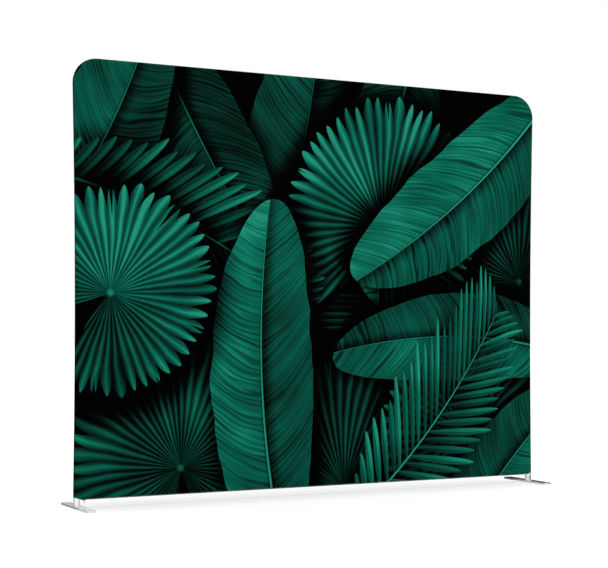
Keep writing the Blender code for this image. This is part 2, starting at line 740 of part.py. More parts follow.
def channel(clearance, wall, floor):
    """The U section that wraps the chain from below, as used by the slider and the end stops."""
    inside = ZIP_CHAIN_GAP / 2 + ZIP_CHAIN_WIDTH + clearance
    outside = inside + wall
    bed = CHAIN_BASE_Z - clearance
    top = CHAIN_TOP_Z - clearance
    return [
        (-outside, top),
        (-outside, bed - floor),
        (outside, bed - floor),
        (outside, top),
        (inside, top),
        (inside, bed),
        (-inside, bed),
        (-inside, top),
    ]


def zip_slider():
    """The slider, its two lugs and the pin between them, and the pull that swings on the pin."""
    ride = pivot("zip_slider_ride", Vector((SLIDER_X, 0, 0)))
    half = SLIDER_LENGTH / 2
    section = channel(SLIDER_CLEARANCE, SLIDER_WALL, SLIDER_FLOOR)
    body_mesh = extruded("slider", section, SLIDER_LENGTH, along_x(-half, half))
    body = place("zip_slider", body_mesh, ZIP_METAL, parent=ride)
    lug_inside = PULL_EYE_WIDTH / 2 + PULL_CLEARANCE
    lug_outside = lug_inside + LUG_THICKNESS
    axis_point = Z_AXIS * PULL_Z
    for label, facing in (("front", -1), ("back", 1)):
        near, far = (Y_AXIS * facing * y for y in (lug_inside, lug_outside))
        ear = cylinder("ear", axis_point + near, axis_point + far, LUG_RADIUS, SMALL_SIDES)
        ear_helper = place_cutter(f"slider_ear_{label}", ear)
        stem_top = SLIDER_BASE_Z + SLIDER_FLOOR / 2
        stem_size = (2 * LUG_RADIUS, LUG_THICKNESS, stem_top - PULL_Z)
        stem_centre = (near + far) / 2 + Z_AXIS * (stem_top + PULL_Z) / 2
        stem_helper = place_cutter(f"slider_stem_{label}", block("stem", stem_centre, stem_size))
        for helper in (stem_helper, ear_helper):
            helper.parent = ride
            combine(body, helper, "UNION")
    pin_reach = Y_AXIS * (lug_inside + LUG_THICKNESS / 2)
    pin = cylinder("pin", axis_point - pin_reach, axis_point + pin_reach, PULL_PIN_RADIUS, SMALL_SIDES)
    pin_helper = place_cutter("slider_pin", pin)
    pin_helper.parent = ride
    combine(body, pin_helper, "UNION")

    swing = pivot("zip_pull_swing", axis_point, ride)
    neck = PULL_EYE_WIDTH / 2
    wide = PULL_WIDTH / 2
    corners = [
        Vector((neck, 0)),
        Vector((-neck, 0)),
        Vector((-neck, -PULL_NECK_LENGTH)),
        Vector((-wide, -PULL_NECK_LENGTH - (wide - neck))),
        Vector((-wide, -PULL_LENGTH)),
        Vector((wide, -PULL_LENGTH)),
        Vector((wide, -PULL_NECK_LENGTH - (wide - neck))),
        Vector((neck, -PULL_NECK_LENGTH)),
    ]
    rounded = rounded_corners(corners[3:7], PULL_CORNER)
    outline = [tuple(corner) for corner in corners[:3]] + rounded + [tuple(corners[7])]
    tab = extruded("pull", outline, PULL_THICKNESS, along_x(0, 0))
    pull = place("zip_pull", tab, ZIP_METAL, parent=swing)
    eye = cylinder("eye", Y_AXIS * -neck, Y_AXIS * neck, PULL_EYE_RADIUS, SMALL_SIDES)
    over = Y_AXIS * (neck + CUT_OVERRUN)
    hole_radius = PULL_PIN_RADIUS + PULL_CLEARANCE
    hole = cylinder("eye_hole", -over, over, hole_radius, SMALL_SIDES)
    for helper_name, mesh, operation in (("pull_eye", eye, "UNION"), ("pull_hole", hole, "DIFFERENCE")):
        helper = place_cutter(helper_name, mesh)
        helper.parent = swing
        combine(pull, helper, operation)


def build_zip():
    for name, facing in (("front", -1), ("back", 1)):
        zip_half(name, facing)
    for name, side in SIDES.items():
        section = channel(SLIDER_CLEARANCE, STOP_WALL, STOP_WALL)
        ends = sorted((side * STOP_X - STOP_LENGTH / 2, side * STOP_X + STOP_LENGTH / 2))
        place("zip_stop_" + name, extruded("stop", section, STOP_LENGTH, along_x(*ends)), ZIP_METAL)
    zip_slider()


build_frame()
for side_name, side_sign in SIDES.items():
    foot(side_name, side_sign)
cover_panel("cover_front", -1)
cover_panel("cover_back", 1)
build_zip()
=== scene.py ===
"""Looks of the fabric partition screen: printed cover, stitches, zip, bare metal, studio and camera.

Metres, +Z up. X runs along the screen and Y through it, with the front towards -Y.
"""

import json
import math

import bmesh
import bpy
from mathutils import Matrix, Vector


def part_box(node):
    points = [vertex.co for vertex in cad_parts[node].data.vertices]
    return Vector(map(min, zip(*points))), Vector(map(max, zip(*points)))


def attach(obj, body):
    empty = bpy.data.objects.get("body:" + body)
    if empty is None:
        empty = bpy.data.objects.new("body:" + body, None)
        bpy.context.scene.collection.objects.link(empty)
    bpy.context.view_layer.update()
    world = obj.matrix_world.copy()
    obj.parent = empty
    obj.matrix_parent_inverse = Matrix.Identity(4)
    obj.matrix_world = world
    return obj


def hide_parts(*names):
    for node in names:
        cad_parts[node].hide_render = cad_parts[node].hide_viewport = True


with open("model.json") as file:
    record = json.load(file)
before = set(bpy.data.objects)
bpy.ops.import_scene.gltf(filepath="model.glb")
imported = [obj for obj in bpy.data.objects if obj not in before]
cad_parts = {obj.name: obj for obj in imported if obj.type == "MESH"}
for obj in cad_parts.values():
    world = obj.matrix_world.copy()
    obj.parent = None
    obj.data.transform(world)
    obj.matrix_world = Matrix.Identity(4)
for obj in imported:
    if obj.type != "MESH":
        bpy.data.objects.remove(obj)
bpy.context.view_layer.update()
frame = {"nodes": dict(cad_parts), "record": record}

# Places read from the frame
cover_low, cover_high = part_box("cover_front")
rail_low, rail_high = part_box("left_bottom_rail")
tape_low, tape_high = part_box("zip_tape_front")
chain_low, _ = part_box("zip_chain_front")
COVER_RADIUS = -cover_low[1]
POST_X = cover_high[0] - COVER_RADIUS
TOP_RAIL_Z = cover_high[2] - COVER_RADIUS
BOTTOM_RAIL_Z = (rail_low[2] + rail_high[2]) / 2
ZIP_HALF_LENGTH = tape_high[0]
TOOTH_TOP_Z = tape_low[2]
TOOTH_FOOT_Z = chain_low[2]

# Cover, as the frame's own source has it
BEND_RADIUS = 0.100
SIDE_BOW = 0.010
CLOTH_THICKNESS = 0.0005
SEAM_GAP = 0.0003
HEM_WRAP_ANGLE = math.radians(60)
HEM_BLEND = 0.006
HEM_RISE = 0.010
COVER_FLOOR_GAP = cover_low[2]
BEND_START_Z = TOP_RAIL_Z - BEND_RADIUS
BEND_START_X = POST_X - BEND_RADIUS
HEM_FLAP_X = POST_X - COVER_RADIUS
HEM_WRAP_X = HEM_FLAP_X - HEM_BLEND

# The two sides of the cover and its zip, and the way along Y that each faces
FACINGS = {"front": -1, "back": 1}

# Fineness of the cloth
SIDE_STEPS = 36
BEND_STEPS = 24
RIM_STEPS = 12
HEM_STEPS = 10
HEM_BLEND_STEPS = 6
PANEL_COLUMNS = 24
SEAM_TUCK = 0.0004
SMOOTH_ANGLE = math.radians(40)
WELD_DISTANCE = 0.00001

# Stitches
THREAD_HALF_WIDTH = 0.00022
THREAD_PROUD = 0.00016
SEAM_STITCH_PITCH = 0.0026
SEAM_STITCH_REACH = 0.0013
SEAM_STITCH_SLANT = 0.0005
HEM_STITCH_PITCH = 0.0030
HEM_STITCH_LENGTH = 0.0022
HEM_STITCH_ROWS = (0.0035, 0.0068)

# Zip tape and metal
TAPE_THICKNESS = 0.00035
TAPE_RADIUS = 0.0152
TAPE_START_ANGLE = math.radians(36)
TAPE_STEPS = 14
METAL_EDGE = 0.00025
METAL_EDGE_STEPS = 2

# Zip teeth. The plan is one side of a tooth from its root to its tip: half its width, and the distance from
# the line where the two halves of the chain meet.
TOOTH_PITCH = 0.0024
TOOTH_CHAMFER = 0.0003
TOOTH_PLAN = (
    (0.00055, 0.0030),
    (0.00055, 0.0014),
    (0.00040, 0.0010),
    (0.00058, 0.0004),
    (0.00050, -0.0003),
    (0.00022, -0.0006),
)

# Surfaces: knit and depths of bumps in metres, and folds, ribs, streaks and clouds per metre
KNIT_COLUMN = 0.0009
KNIT_COURSE = 0.0007
KNIT_DEPTH = 0.00012
KNIT_STRENGTH = 0.5
TWILL_FOLDS = 700.0
TWILL_RIBS = 900.0
TWILL_DEPTH = 0.0001
STREAKS_ACROSS = 420.0
STREAKS_ALONG = 4.0
STREAK_DEPTH = 0.00003
CLOUDS = 14.0
FULL_TURN = 2.0 * math.pi

# Share of a metal's or a grain's colour in its darkest places
STREAK_SHADE_SHARE = 0.84
GRAIN_SHADE_SHARE = 0.75

# Leaves of the print: sizes in metres, how the ribs run, and how many ribs or folds lie between tears
LEAF_EDGE_BLUR = 0.0016
LEAST_WIDTH = 0.001
PALE_EDGE = (0.0015, 0.006)
RIB_SPACING = 0.030
RIB_RAKE = 0.32
RIB_CURL = 0.42
RIB_DRIFT = 2.4
RIBS_PER_TEAR = 4.6
MIDRIB_ROOT = 0.0090
MIDRIB_TIP = 0.0014
FOLDS_PER_SPLIT = 5.0
FAN_HEART = (0.006, 0.026)
STALK_ROOT = 0.0075
STALK_TIP = 0.0015
STALK_END_BLUR = 0.002

# Shadow of a leaf on those below: its shift along and across the leaf, where it starts and where it is full
STRAP_SHADOW_SHIFT = 0.03
STRAP_SHADOW = (-0.13, 0.03)
FAN_SHADOW_SHIFT = (0.03, 0.02)
FAN_SHADOW = (-0.14, 0.04)
FROND_SHADOW = (-0.10, 0.10)

# Largest shift of one printed leaf by the one below it
CHAIN_NUDGE = 0.000001

# What every leaf is told of its place, and each kind of leaf of its shape
LEAF_PLACE = ("across", "up", "mottle", "shade below", "root x", "root z", "angle", "tone", "seed")
LEAF_SETTINGS = {
    "strap_leaf": ("length", "half width", "bend", "lit side"),
    "fan_leaf": ("radius", "folds", "squash"),
    "frond": ("length", "leaflet", "bend", "pitch"),
}
FIRST_SEED = 1.3
SEED_STEP = 2.7

# The leaves from the rearmost to the nearest: kind, root (x, z), angle in degrees, tone and settings
LAYERS = (
    ("frond", (-0.62, 1.12), 64, 0.34, (1.10, 0.46, -0.30, 0.054)),
    ("frond", (1.02, 0.30), 126, 0.34, (1.25, 0.46, 0.22, 0.052)),
    ("strap_leaf", (-0.30, 0.86), 74, 0.46, (1.50, 0.30, 0.05, 1.0)),
    ("fan_leaf", (0.12, 0.02), 84, 0.46, (0.66, 54.0, 0.94)),
    ("strap_leaf", (-0.92, 2.25), -68, 0.56, (1.30, 0.25, 0.10, -1.0)),
    ("fan_leaf", (1.16, 1.04), 172, 0.52, (0.56, 50.0, 0.94)),
    ("fan_leaf", (-0.74, 0.16), 98, 0.56, (0.66, 52.0, 0.92)),
    ("strap_leaf", (-1.42, 1.16), 52, 0.60, (1.25, 0.24, 0.16, 1.0)),
    ("strap_leaf", (0.55, 2.22), -112, 0.58, (1.30, 0.26, 0.16, -1.0)),
    ("fan_leaf", (0.34, 1.30), 72, 0.74, (0.66, 56.0, 0.90)),
    ("frond", (-1.42, 1.50), -10, 0.72, (1.40, 0.48, -0.18, 0.056)),
    ("fan_leaf", (0.86, 0.26), 150, 0.60, (0.56, 48.0, 0.95)),
    ("strap_leaf", (-0.22, -0.22), 103, 0.82, (1.60, 0.27, -0.12, 1.0)),
    ("strap_leaf", (1.46, 0.66), 164, 0.72, (1.35, 0.23, 0.20, 1.0)),
    ("fan_leaf", (-1.08, 0.96), 34, 0.84, (0.55, 48.0, 0.92)),
    ("strap_leaf", (1.36, 2.02), -128, 0.90, (1.50, 0.27, -0.14, -1.0)),
    ("strap_leaf", (0.70, -0.42), 58, 0.74, (1.25, 0.25, -0.14, -1.0)),
    ("frond", (0.16, -0.14), 38, 0.92, (1.30, 0.46, 0.16, 0.052)),
)

# Shades of the ground behind the leaves, and the print's inks by shade, from near black to pale teal
GROUND = (0.02, 0.12)
INKS = (
    (0.08, (0.0002, 0.0002, 0.0002)),
    (0.15, (0.0005, 0.0010, 0.0008)),
    (0.235, (0.0010, 0.0050, 0.0036)),
    (0.377, (0.0024, 0.0340, 0.0228)),
    (0.529, (0.0024, 0.0765, 0.0498)),
    (0.684, (0.0026, 0.1200, 0.0780)),
    (0.86, (0.0060, 0.1960, 0.1240)),
    (1.0, (0.0180, 0.2800, 0.1900)),
)

# Other colours
REVERSE_DARK = (0.32, 0.47, 0.41)
REVERSE_LIGHT = (0.55, 0.68, 0.62)
THREAD_GREEN = (0.008, 0.075, 0.052)
TAPE_DARK = (0.004, 0.012, 0.010)
TAPE_LIGHT = (0.016, 0.045, 0.036)
CHAIN_GREEN = (0.012, 0.030, 0.025)
ALUMINIUM = (0.86, 0.87, 0.88)
CAST_METAL = (0.60, 0.61, 0.62)
SPRING_METAL = (0.52, 0.52, 0.53)
PLATED_FACE = (0.80, 0.80, 0.81)
# Painted shade: the darker colour of the foot plates' long sides and rounded edges
PLATED_SHADED_EDGE = (0.48, 0.48, 0.49)
RUBBER_BLACK = (0.030, 0.030, 0.031)
ZIP_LACQUER = (0.030, 0.034, 0.034)
FLOOR_SHADE = 0.80

# Grained finishes by slot: name, colour, roughness, metallic, grains per metre and depth of the grain
GRAINED_SLOTS = {
    "fitting": ("cast_aluminium", CAST_METAL, 0.46, 1.0, 900.0, 0.0001),
    "screw": ("zinc_screw_steel", CAST_METAL, 0.36, 1.0, 1200.0, 0.00004),
    "pad": ("pad_rubber", RUBBER_BLACK, 0.85, 0.0, 1500.0, 0.0001),
    "zip_chain": ("zip_chain_nylon", CHAIN_GREEN, 0.42, 0.0, 1800.0, 0.00004),
    "zip_metal": ("zip_lacquered_metal", ZIP_LACQUER, 0.32, 1.0, 1500.0, 0.00003),
}
THREAD = ("sewing_thread", THREAD_GREEN, 0.7, 0.0, 3000.0, 0.00005)

# Camera, in the photograph's pixels where it says so
CAMERA_PLACE = Vector((-3.418, -6.275, 0.826))
CAMERA_YAW = math.radians(27.93)
CAMERA_PITCH = math.radians(-1.27)
CAMERA_ROLL = math.radians(0.066)
IMAGE_WIDTH = 608
FOCAL_PIXELS = 1481.0
HORIZON_DROP_PIXELS = 71.78
SENSOR_WIDTH = 36.0

# Light: a surround and a floor in which 1 is white, and a lamp overhead
SKY_LEVEL = 0.69
SKY_SHAPE = 1.6
SKY_LEAN = 0.2
FLOOR_BOOST = 0.21
FLOOR_REACH = 40
OVERHEAD_LEVEL = 1.77
OVERHEAD_SPREAD = math.radians(14)

# Boards that only reflections show: two opposite corners and a shade
BOARDS = {
    "floor_board_left": (Vector((-1.75, -0.03, 0.0002)), Vector((-0.85, 0.45, 0.0002)), 0.45),
    "floor_board_right": (Vector((0.85, 0.10, 0.0002)), Vector((1.75, 0.45, 0.0002)), 0.10),
    "floor_board_outer": (Vector((1.262, -0.25, 0.0002)), Vector((1.75, 0.10, 0.0002)), 0.05),
    "low_board_right": (Vector((1.15, 0.25, 0.0)), Vector((1.80, 0.25, 0.120)), 0.07),
    "low_board_left": (Vector((-1.30, 0.30, 0.0)), Vector((-0.85, 0.30, 0.055)), 0.95),
}


# Values on a surface


class Value:
    """A number at each point of a surface. Arithmetic on it adds Math nodes to its tree."""

    def __init__(self, tree, socket):
        self.tree = tree
        self.socket = socket

    def math(self, operation, *others, clamp=False):
        node = self.tree.nodes.new("ShaderNodeMath")
        node.operation = operation
        node.use_clamp = clamp
        for socket, term in zip(node.inputs, (self, *others)):
            plug(self.tree, socket, term)
        return Value(self.tree, node.outputs[0])

    def __add__(self, other):
        return self.math("ADD", other)

    def __sub__(self, other):
        return self.math("SUBTRACT", other)

    def __mul__(self, other):
        return self.math("MULTIPLY", other)

    def __truediv__(self, other):
        return self.math("DIVIDE", other)

    def __pow__(self, other):
        return self.math("POWER", other)

    def __rsub__(self, other):
        return self.math("MULTIPLY_ADD", -1.0, other)

    __radd__ = __add__
    __rmul__ = __mul__

    def absolute(self):
        return self.math("ABSOLUTE")

    def whole(self):
        return self.math("FLOOR")

    def fraction(self):
        return self.math("FRACT")

    def from_middle(self):
        """How far a phase from 0 to 1 is from its middle."""
        return (self - 0.5).absolute()

    def clamped(self):
        return self.math("ADD", 0.0, clamp=True)

    def positive(self):
        return self.math("MAXIMUM", 0.0)

    def rising(self, low, high):
        """0 below low, 1 above high, and a smooth rise from one to the other."""
        node = self.tree.nodes.new("ShaderNodeMapRange")
        node.interpolation_type = "SMOOTHSTEP"
        plug(self.tree, node.inputs["Value"], self)
        plug(self.tree, node.inputs["From Min"], low)
        plug(self.tree, node.inputs["From Max"], high)
        return Value(self.tree, node.outputs[0])

    def falling(self, low, high):
        """1 below low, 0 above high, and a smooth fall from one to the other."""
        return 1.0 - self.rising(low, high)


def plug(tree, socket, term):
    """Feeds a socket from a Value, or sets it to a plain number."""
    if isinstance(term, Value):
        tree.links.new(term.socket, socket)
    else:
        socket.default_value = term


def mixed(factor, low, high):
    """low where factor is 0, high where it is 1."""
    return low + (high - low) * factor


def parts(tree, vector):
    """The three values of a vector."""
    split = tree.nodes.new("ShaderNodeSeparateXYZ")
    tree.links.new(vector, split.inputs[0])
    return [Value(tree, socket) for socket in split.outputs]


def coordinates(tree, kind):
    """The three values of one kind of texture coordinates, such as Object or Normal."""
    source = tree.nodes.new("ShaderNodeTexCoord")
    return parts(tree, source.outputs[kind])


def print_place(tree):
    """Distances across and up the flat print, from the mesh attribute that holds them."""
    node = tree.nodes.new("ShaderNodeAttribute")
    node.attribute_name = "print_place"
    return parts(tree, node.outputs["Vector"])[:2]


def stretched_place(tree, stretch=(1, 1, 1)):
    """Object coordinates, scaled on each axis to draw a texture out along one of them."""
    source = tree.nodes.new("ShaderNodeTexCoord")
    scale = tree.nodes.new("ShaderNodeMapping")
    scale.inputs["Scale"].default_value = stretch
    tree.links.new(source.outputs["Object"], scale.inputs["Vector"])
    return scale.outputs["Vector"]


def flat_noise(tree, across, up, scale, detail=1.0):
    """Soft noise from 0 to 1 over two coordinates."""
    place = tree.nodes.new("ShaderNodeCombineXYZ")
    plug(tree, place.inputs["X"], across)
    plug(tree, place.inputs["Y"], up)
    node = tree.nodes.new("ShaderNodeTexNoise")
    node.noise_dimensions = "2D"
    node.inputs["Scale"].default_value = scale
    node.inputs["Detail"].default_value = detail
    tree.links.new(place.outputs[0], node.inputs["Vector"])
    return Value(tree, node.outputs["Fac"])


def solid_noise(tree, vector, scale, detail, roughness=0.5):
    """Soft noise from 0 to 1 through space."""
    node = tree.nodes.new("ShaderNodeTexNoise")
    node.inputs["Scale"].default_value = scale
    node.inputs["Detail"].default_value = detail
    node.inputs["Roughness"].default_value = roughness
    tree.links.new(vector, node.inputs["Vector"])
    return Value(tree, node.outputs["Fac"])


def chance(tree, index, seed):
    """A steady random number from 0 to 1 for each whole index."""
    place = tree.nodes.new("ShaderNodeCombineXYZ")
    plug(tree, place.inputs["X"], index)
    plug(tree, place.inputs["Y"], seed)
    node = tree.nodes.new("ShaderNodeTexWhiteNoise")
    node.noise_dimensions = "2D"
    tree.links.new(place.outputs[0], node.inputs["Vector"])
    return Value(tree, node.outputs["Value"])


# Leaves of the print. Shades run from 0 to 1. A leaf's shade is its tone, made darker or lighter by each
# thing that shapes it, between a low and a high share.


def leaf_group(kind):
    """A node group for one kind of leaf, which gives the new shade, and its inputs by label."""
    tree = bpy.data.node_groups.new(kind, "ShaderNodeTree")
    for label in LEAF_PLACE + LEAF_SETTINGS[kind]:
        tree.interface.new_socket(label, in_out="INPUT", socket_type="NodeSocketFloat")
    tree.interface.new_socket("shade", in_out="OUTPUT", socket_type="NodeSocketFloat")
    given = tree.nodes.new("NodeGroupInput")
    return tree, {socket.name: Value(tree, socket) for socket in given.outputs if socket.name}


def close_group(tree, shade):
    result = tree.nodes.new("NodeGroupOutput")
    tree.links.new(shade.socket, result.inputs["shade"])


def along_and_side(v):
    """Distances along and across a leaf, from its root.

    The shade below moves the leaf by a micron at most. That makes the renderer work the leaves out one
    after another, which its shader stack needs.
    """
    dx = v["across"] - v["root x"] + v["shade below"] * CHAIN_NUDGE
    dz = v["up"] - v["root z"]
    cos = v["angle"].math("COSINE")
    sin = v["angle"].math("SINE")
    return dx * cos + dz * sin, dz * cos - dx * sin


def beyond(along, length):
    """How far a point is before a leaf's root or past its tip."""
    return (along - length).positive() + (-1.0 * along).positive()


def belly(reach, roundness):
    """1 halfway along a leaf and 0 at both of its ends."""
    return (reach * (1.0 - reach) * 4.0).positive() ** roundness


def strap_ribs(tree, v, along, off, signed, ripple):
    """A count that goes up by one at each rib. The ribs rake and curl, and their spacing drifts."""
    raked = along - off * RIB_RAKE - off * off / v["half width"] * RIB_CURL
    rib = raked / RIB_SPACING + ripple * 1.1
    drift = flat_noise(tree, rib * 0.42 + v["seed"], signed * 5.0 + off * 2.0, 1.0, 2.0)
    return rib + drift * RIB_DRIFT


def strap_tears(tree, v, rib, off, width, signed):
    """1 inside the tears between some of the ribs."""
    cell = rib / RIBS_PER_TEAR
    luck = chance(tree, cell.whole(), v["seed"] + signed * 3.1)
    depth = 1.35 - luck * 0.5
    gap = (off / width.math("MAXIMUM", LEAST_WIDTH) - depth) * 0.42
    return (gap - cell.fraction().from_middle()).rising(0.0, 0.03)


def strap_relief(tree, v, rib, along, off, signed):
    """How deep a point is in a groove between two ribs, and how far up a rib's crest."""
    seed = v["seed"]
    phase = rib.fraction()
    luck = chance(tree, rib.whole(), seed + signed * 1.7)
    patch = flat_noise(tree, along + seed, off * signed, 3.6, 1.0).rising(0.30, 0.62)
    groove = phase.from_middle().falling(0.03, 0.30)
    groove = groove * mixed(luck, 0.22, 1.0) * mixed(patch, 0.45, 1.0)
    crest = phase.rising(0.60, 0.76) * phase.falling(0.76, 1.0) * luck
    return groove, crest


def strap_leaf():
    """A long leaf with a pale midrib, ribs running out to the edge, and tears between some of them."""
    tree, v = leaf_group("strap_leaf")
    along, side = along_and_side(v)
    length, half_width, seed, tone = v["length"], v["half width"], v["seed"], v["tone"]
    side = side - v["bend"] * along * along
    reach = (along / length).clamped()
    signed = side.math("SIGN")
    off = side.absolute()
    over = beyond(along, length)
    ripple = flat_noise(tree, along + seed, signed * 3.0 + seed, 5.0)
    width = half_width * belly(reach, 0.48) * (0.93 + ripple * 0.16)
    rib = strap_ribs(tree, v, along, off, signed, ripple)
    tear = strap_tears(tree, v, rib, off, width, signed)
    edge = width - off - over
    cover = edge.rising(0.0, LEAF_EDGE_BLUR) * (1.0 - tear)

    groove, crest = strap_relief(tree, v, rib, along, off, signed)
    fine = flat_noise(tree, rib * 2.9 + seed, off * 2.2 + along * 0.4, 2.0, 3.0)
    band = flat_noise(tree, rib * 0.55 + seed * 2.0, off * 2.6, 1.0, 1.0)
    lean = signed * v["lit side"]
    near_rib = (off / half_width).falling(0.0, 0.28)
    light = tone * (0.84 + lean * 0.15) * mixed(v["mottle"], 0.60, 1.44)
    light = light * mixed(band, 0.66, 1.20) * mixed(fine, 0.78, 1.22)
    light = light * (1.0 - groove * 0.50) + crest * tone * 0.13
    light = light * (1.0 - near_rib * (0.26 - lean * 0.20)) * mixed(reach, 0.76, 1.08)
    light = light + edge.falling(*PALE_EDGE) * 0.05 * tone

    rib_width = mixed(reach, MIDRIB_ROOT, MIDRIB_TIP)
    midrib = off.falling(rib_width * 0.55, rib_width)
    crease = off.falling(rib_width, rib_width * 2.6) * (1.0 - midrib)
    light = light * (1.0 - crease * 0.42)
    light = mixed(midrib, light, tone * (1.18 + lean * 0.1))

    shadow = (width - (side + STRAP_SHADOW_SHIFT).absolute() - over).rising(*STRAP_SHADOW)
    close_group(tree, mixed(cover, v["shade below"] * (1.0 - shadow * 0.80), light))
    return tree


def fan_leaf():
    """A round pleated palm leaf, its folds running out from the stalk to a toothed edge."""
    tree, v = leaf_group("fan_leaf")
    along, side = along_and_side(v)
    side = side / v["squash"]
    radius, seed, tone = v["radius"], v["seed"], v["tone"]
    off = (along * along + side * side).math("SQRT")
    run = off / radius
    turn = side.math("ARCTAN2", along)
    waver = flat_noise(tree, run + seed, turn * 1.3, 1.4, 2.0) - 0.5
    fold = (turn + waver * 0.16 * run) * v["folds"] / FULL_TURN
    phase = fold.fraction()
    luck = chance(tree, fold.whole(), seed)
    notch = (phase.from_middle() * 2.0) ** 1.6 * mixed(luck, 0.10, 0.22) + luck * 0.05
    bay = turn.absolute().rising(2.60, 2.95) * 0.9
    outline = radius * (1.0 - notch - bay) * (1.0 - turn.absolute() * 0.035)
    group = fold / FOLDS_PER_SPLIT
    split_luck = chance(tree, group.whole(), seed + 11.0)
    split_gap = (run - 0.52 - split_luck * 0.4) * 0.16
    split = (split_gap - group.fraction().from_middle()).rising(0.0, 0.02)
    cover = (outline - off).rising(0.0, LEAF_EDGE_BLUR) * (1.0 - split)

    facet = phase.rising(0.08, 0.46) * phase.falling(0.5, 0.98)
    lit = (turn - 0.7).math("COSINE") * 0.5 + 0.5
    fine = flat_noise(tree, fold * 3.4 + seed, off * 1.2, 2.2, 3.0)
    sector = flat_noise(tree, turn * 0.9 + seed, run * 0.9, 1.6, 1.0)
    light = tone * mixed(facet, 0.50, 1.08) * mixed(lit, 0.66, 1.12)
    light = light * mixed(v["mottle"], 0.66, 1.38) * mixed(fine, 0.78, 1.22) * mixed(luck, 0.80, 1.20)
    light = light * mixed(sector, 0.62, 1.38) * mixed(run.clamped(), 0.62, 1.08)
    crest = phase.from_middle().falling(0.02, 0.06)
    light = light + crest * tone * 0.16 * run.rising(0.03, 0.2)
    light = mixed(off.falling(*FAN_HEART), light, tone * 1.1)

    shifted_along, shifted_side = along + FAN_SHADOW_SHIFT[0], side + FAN_SHADOW_SHIFT[1]
    shifted_off = (shifted_along * shifted_along + shifted_side * shifted_side).math("SQRT")
    shadow = (radius * (1.0 - bay) - shifted_off).rising(*FAN_SHADOW)
    close_group(tree, mixed(cover, v["shade below"] * (1.0 - shadow * 0.78), light))
    return tree


def frond():
    """A feathery palm frond: slender leaflets in two rows along a bowed stalk."""
    tree, v = leaf_group("frond")
    along, side = along_and_side(v)
    length, seed, tone = v["length"], v["seed"], v["tone"]
    side = side - v["bend"] * along * along
    signed = side.math("SIGN")
    off = side.absolute()
    reach = (along / length).clamped()
    rise = mixed(reach, 0.55, 1.35)
    start = along - off * rise + off * off * 0.5
    order = start / v["pitch"] + signed * 0.25
    luck = chance(tree, order.whole(), seed + signed * 2.3)
    inside = order.fraction() - 0.5 + (luck - 0.5) * 0.22
    leaflet = v["leaflet"] * belly((start / length).clamped(), 0.5) * mixed(luck, 0.86, 1.14)
    out = off * (rise * rise + 1.0).math("SQRT")
    run = (out / leaflet.math("MAXIMUM", LEAST_WIDTH)).clamped()
    slim = ((run + 0.03) * (1.0 - run) * 4.0).positive() ** 0.6
    over = beyond(start, length)
    cover = (slim * 0.40 - inside.absolute() - over * 40.0).rising(0.0, 0.05)

    fold = inside.rising(-0.02, 0.02)
    fine = flat_noise(tree, inside * 14.0 + seed, out * 2.0, 2.0)
    light = tone * mixed(fold, 0.66, 1.0) * mixed(luck, 0.56, 1.18)
    light = light * mixed(v["mottle"], 0.64, 1.40) * mixed(fine, 0.76, 1.24) * mixed(run, 0.62, 1.12)
    stalk_width = mixed(reach, STALK_ROOT, STALK_TIP)
    ends_over = beyond(along, length)
    stalk = off.falling(stalk_width * 0.7, stalk_width) * ends_over.falling(0.0, STALK_END_BLUR)
    light = mixed(stalk, light, tone * 1.12)
    cover = cover.math("MAXIMUM", stalk)

    spread = v["leaflet"] * 0.62 * belly(reach, 0.5)
    shadow = (spread - off - ends_over).rising(*FROND_SHADOW)
    close_group(tree, mixed(cover, v["shade below"] * (1.0 - shadow * 0.55), light))
    return tree


def foliage_shade(tree, across, up):
    """The whole print's light and dark, from its deep ground to the nearest leaves."""
    groups = {"strap_leaf": strap_leaf(), "fan_leaf": fan_leaf(), "frond": frond()}
    mottle = flat_noise(tree, across, up, 2.6, 2.0)
    shade = mixed(mottle.rising(0.35, 0.8), *GROUND)
    for order, (kind, root, angle, tone, settings) in enumerate(LAYERS):
        node = tree.nodes.new("ShaderNodeGroup")
        node.node_tree = groups[kind]
        seed = SEED_STEP * order + FIRST_SEED
        values = (across, up, mottle, shade, *root, math.radians(angle), tone, seed, *settings)
        for label, value in zip(LEAF_PLACE + LEAF_SETTINGS[kind], values):
            plug(tree, node.inputs[label], value)
        shade = Value(tree, node.outputs["shade"])
    return shade


def ink_colour(tree, shade):
    ramp = tree.nodes.new("ShaderNodeValToRGB")
    stops = ramp.color_ramp.elements
    while len(stops) < len(INKS):
        stops.new(0.5)
    for stop, (position, colour) in zip(stops, INKS):
        stop.position = position
        stop.color = (*colour, 1)
    plug(tree, ramp.inputs["Fac"], shade)
    return ramp.outputs["Color"]


# Materials


def new_material(name, roughness, metallic=0.0):
    """A material and its shader, with one roughness and metallic value all over."""
    material = bpy.data.materials.new(name)
    material.use_nodes = True
    shader = material.node_tree.nodes["Principled BSDF"]
    shader.inputs["Roughness"].default_value = roughness
    shader.inputs["Metallic"].default_value = metallic
    return material, material.node_tree, shader


def add_bump(tree, shader, height, distance, strength):
    bump = tree.nodes.new("ShaderNodeBump")
    bump.inputs["Strength"].default_value = strength
    bump.inputs["Distance"].default_value = distance
    plug(tree, bump.inputs["Height"], height)
    tree.links.new(bump.outputs["Normal"], shader.inputs["Normal"])


def tinted(tree, factor, dark, light):
    """A colour between dark and light, by a factor from 0 to 1."""
    mix = tree.nodes.new("ShaderNodeMix")
    mix.data_type = "RGBA"
    plug(tree, mix.inputs["Factor"], factor)
    mix.inputs["A"].default_value = (*dark, 1)
    mix.inputs["B"].default_value = (*light, 1)
    return mix.outputs["Result"]


def knit_height(tree, across, up):
    """The height of a fine knit: columns of stitches, in courses that each column shifts."""
    column = (across * (FULL_TURN / KNIT_COLUMN)).math("SINE")
    course = (up * (FULL_TURN / KNIT_COURSE) + column * 0.9).math("SINE")
    return column * 0.6 + course * 0.4


